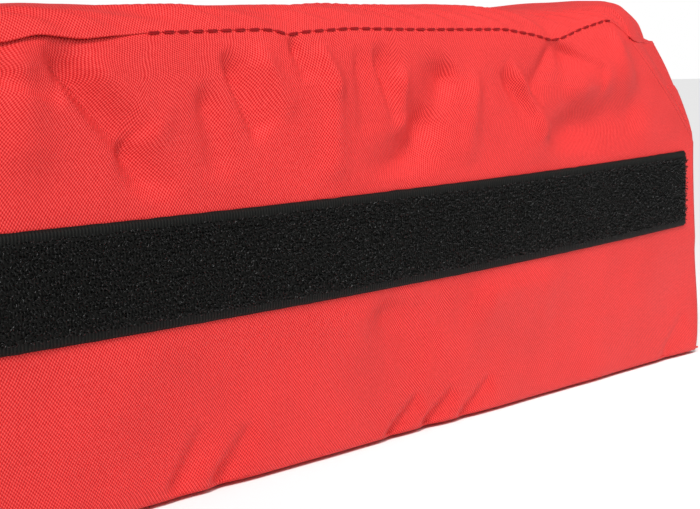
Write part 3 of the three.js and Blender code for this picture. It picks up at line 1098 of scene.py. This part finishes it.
# A stitched box with a cross holds each end of the handle.
inset = handle["stitchInset"]
inner = handle["span"] / 2 + inset["inner"]
outer = handle["end"] - inset["outer"]
low = handle["middle"] - handle["width"] / 2 + inset["edge"]
high = handle["middle"] + handle["width"] / 2 - inset["edge"]
for side, word in ((1, "right"), (-1, "left")):
    corners = []
    for x, z in ((inner, low), (outer, low), (outer, high), (inner, high)):
        wall = wallPoint(zipRun / 2 - side * x, z).y
        corners.append((side * x, wall + handle["stand"] + handle["stitchProud"], z))
    stitchBoxes(f"{word}_handle_stitching", [corners], (0, 1, 0), blackThread, "pouch")
print("handle made")

# Bindings inside the seams.

binding = {
    "height": 10,
    "thickness": 1.2,
    "inset": 0.9,
    "hingeDrop": 1.2,      # how far below its seam each tape's upper edge lies
    "lidDrop": 0.8,
    "floorLift": 1.6,
    "endRoom": 3,          # the hinge tape stops this far from the wall's ends
}


def hingeBinding(across, up):
    x = (wallEdge(96, sideOf(across - 0.5)) - 4) * (2 * across - 1)
    room = binding["endRoom"]
    x = max(-wallEdge(seamHeight, -1) + room, min(wallEdge(seamHeight, 1) - room, x))
    z = seamAt(x) - binding["hingeDrop"] - (1 - up) * binding["height"]
    return x, frontFace(x, z) + binding["inset"], z


def lowerBinding(across, up):
    return wallPoint(across * zipRun, binding["floorLift"] + up * binding["height"], -binding["inset"])


def lidBinding(across, up):
    z = seamHeight - binding["lidDrop"] - (1 - up) * binding["height"]
    return wallPoint(across * zipRun, z, -binding["inset"])


for name, place, node, body in (
    ("hinge_binding_tape", hingeBinding, "hinge_seam_binding", "pouch"),
    ("lower_binding_tape", lowerBinding, "lower_seam_binding", "pouch"),
    ("lid_binding_tape", lidBinding, "lid_seam_binding", "lid"),
):
    tape = clothSheet(260, 6, place, binding["thickness"])
    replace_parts(dress(tape, name, redTape, body), node)
print("bindings made")

# Folded blanket.

foldLow, foldHigh = cadCorners("folded_blanket")
blanket = {
    "plies": 6,            # fan-folded across first
    "runs": 9,             # then folded to and fro from front to rear
    "gap": 0.6,
    "cloth": 0.45,
    "endRoom": 0.4,
    "bend": 0.015,         # share of a ply that turns over at each fold
    "uneven": 1.6,         # folds stop this much short at most
    "unevenFrom": 0.6,
    "sag": 0.22,
}
runPitch = (foldHigh.z - foldLow.z + blanket["gap"]) / blanket["runs"]
runDepth = runPitch - blanket["gap"]
plyPitch = (runDepth - blanket["cloth"]) / blanket["plies"]
foldShort = [random.uniform(-1, 0) for fold in range(blanket["plies"] + 1)]


def toAndFro(count):
    return 1 if count % 2 == 0 else -1


# The cloth fan-folded across: distance along it gives a place across the pouch and a height in the stack.
def fanFold(share):
    plies = blanket["plies"]
    along = share * plies
    ply = min(plies - 1, int(along))
    inPly = along - ply
    way = toAndFro(ply)
    half = (foldHigh.x - foldLow.x) / 2 - blanket["endRoom"]
    x = way * (2 * inPly - 1) * half
    turn = smooth(1 - blanket["bend"], 1, inPly) * 0.5 if ply < plies - 1 else 0
    turn -= (1 - smooth(0, blanket["bend"], inPly)) * 0.5 if ply > 0 else 0
    short = foldShort[ply + (1 if inPly > 0.5 else 0)] * blanket["uneven"]
    x += math.copysign(1, x) * short * smooth(blanket["unevenFrom"], 1, abs(x) / half)
    return x, (ply + 0.5 + turn) * plyPitch - runDepth / 2 + blanket["cloth"] / 2


# The folded strip laid to and fro: gives the middle of the strip and the way its thickness points.
def serpentine(share):
    runs = blanket["runs"]
    radius = runPitch / 2
    reach = radius + runDepth / 2
    front, rear = foldLow.y + reach, foldHigh.y - reach
    straight = rear - front
    arc = math.pi * radius
    along = share * (runs * straight + (runs - 1) * arc + 2 * reach) - reach
    run = 0
    while run < runs - 1 and along > straight + arc / 2:
        along -= straight + arc
        run += 1
    way = toAndFro(run)
    height = foldLow.z + runDepth / 2 + run * runPitch
    start = front if way > 0 else rear
    if along < 0 and run > 0:
        angle = along / radius
        centre = Vector((start, height - radius))
        out = Vector((way * math.sin(angle), math.cos(angle)))
        return centre + out * radius, out, run
    if along > straight and run < runs - 1:
        angle = (along - straight) / radius
        centre = Vector((start + way * straight, height + radius))
        out = Vector((way * math.sin(angle), -math.cos(angle)))
        return centre + out * radius, -out, run
    return Vector((start + way * along, height)), Vector((0, 1)), run


def blanketPoint(across, along):
    x, lift = fanFold(across)
    middle, out, run = serpentine(along)
    way = toAndFro(run)
    sag = blanket["sag"] * noise.noise(Vector((x / 40, middle.x / 35, middle.y / 9)))
    place = middle + out * (lift * way + sag)
    return x, place.x, place.y


folded = clothSheet(162, 270, blanketPoint, blanket["cloth"], offset=0)
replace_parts(dress(folded, "folded_glass_cloth", glassCloth, "blanket"), "folded_blanket")
print("blanket made")

# Pull tapes and card on the blanket.

pullTape = {
    "thickness": 1.4,
    "lie": 1.45,           # height of its upper face
    "ripple": 0.25,
    "ripplePitch": 17,
    "heldEnds": 0.08,
    "boxFrom": 3,
    "boxTo": 26,
    "stitchHeight": 2.0,
}
for side, word in ((1, "right"), (-1, "left")):
    low, high = cadCorners(f"{word}_pull_tape")

    def pullPoint(across, up):
        y = low.y + (high.y - low.y) * across
        x = high.x - (high.x - low.x) * up
        lift = pullTape["ripple"] * math.sin(y / pullTape["ripplePitch"] + side) + pullTape["ripple"]
        free = within(0, pullTape["heldEnds"], 1 - pullTape["heldEnds"], 1, across)
        return x, y, low.z + pullTape["lie"] + lift * free

    tape = clothSheet(80, 14, pullPoint, pullTape["thickness"])
    dress(tape, f"{word}_pull_webbing", blackWebbing, "blanket")
    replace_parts(tape, f"{word}_pull_tape")
    left, right = low.x + pullTape["boxFrom"], high.x - pullTape["boxFrom"]
    z = low.z + pullTape["stitchHeight"]
    boxes = []
    for near, far in (
        (low.y + pullTape["boxFrom"], low.y + pullTape["boxTo"]),
        (high.y - pullTape["boxTo"], high.y - pullTape["boxFrom"]),
    ):
        boxes.append([(left, near, z), (right, near, z), (right, far, z), (left, far, z)])
    stitchBoxes(f"{word}_pull_stitching", boxes, (0, 0, 1), redThread, "blanket")

cardLeaf = {"thickness": 0.35, "curl": 0.5}


def cardPoint(across, up):
    low, high = cadCorners("instruction_card")
    x = low.x + (high.x - low.x) * across
    y = low.y + (high.y - low.y) * up
    curl = cardLeaf["curl"] * (2 * across - 1) ** 4
    return x, y, low.z + cardLeaf["thickness"] + curl


card = clothSheet(60, 40, cardPoint, cardLeaf["thickness"])
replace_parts(dress(card, "card_leaf", plainCard, "blanket"), "instruction_card")
print("tapes and card made")

# Camera, light and floor.

view = {
    "place": (-0.316, -0.386, 0.0953),
    "azimuth": -49.05,
    "down": 6.26,
    "roll": -1.17,
    "lens": 82.2857,
    "sensor": 36,
}

bpy.ops.object.camera_add(location=view["place"])
camera = bpy.context.object
turn = Matrix.Rotation(math.radians(view["azimuth"]), 4, "Z")
turn = turn @ Matrix.Rotation(math.radians(90 - view["down"]), 4, "X")
turn = turn @ Matrix.Rotation(math.radians(view["roll"]), 4, "Z")
camera.rotation_euler = turn.to_euler()
camera.data.lens = view["lens"]
camera.data.sensor_width = view["sensor"]
camera.data.clip_start = 0.01
bpy.context.scene.camera = camera

lights = {
    "key": {"kind": "SUN", "place": (-1.15, -0.7, 1.2), "power": 3.1, "spread": {"angle": 0.25}},
    "overhead": {"kind": "AREA", "place": (-0.1, -0.35, 0.9), "power": 0.6, "spread": {"size": 0.6}},
    "nearTop": {"kind": "AREA", "place": (0.16, -0.34, 0.32), "power": 0.6, "spread": {"size": 0.3}},
}
for name, light in lights.items():
    bpy.ops.object.light_add(type=light["kind"], location=light["place"])
    lamp = bpy.context.object
    lamp.name = name
    lamp.data.energy = light["power"]
    for setting, value in light["spread"].items():
        setattr(lamp.data, setting, value)
    lamp.visible_camera = False
    lamp.rotation_euler = (lamp.location - Vector((0, 0, 0.05))).to_track_quat("Z", "Y").to_euler()

startAfresh()
bpy.ops.mesh.primitive_plane_add(size=40, location=(0, 0, -0.0008))
studioFloor = bpy.context.object
studioFloor.name = "studio_floor"
floorPaint = newFinish("mattWhitePaint", {"Base Color": colour("#FDFDFD"), "Roughness": 0.9})[0]
studioFloor.data.materials.append(floorPaint)

backdrop = {"light": 0.22, "seen": 1.0}    # it looks white, and lights the pouch less than it looks

world = bpy.data.worlds.new("paleStudio")
world.use_nodes = True
world.node_tree.nodes["Background"].inputs["Color"].default_value = (1, 1, 1, 1)
seen = addNode(world.node_tree, "ShaderNodeLightPath").outputs["Is Camera Ray"]
mixed = {"Value": seen, "To Min": backdrop["light"], "To Max": backdrop["seen"]}
strength = addNode(world.node_tree, "ShaderNodeMapRange", mixed)
world.node_tree.links.new(strength.outputs[0], world.node_tree.nodes["Background"].inputs["Strength"])
bpy.context.scene.world = world
bpy.context.scene.view_settings.view_transform = "Standard"
print("studio made")
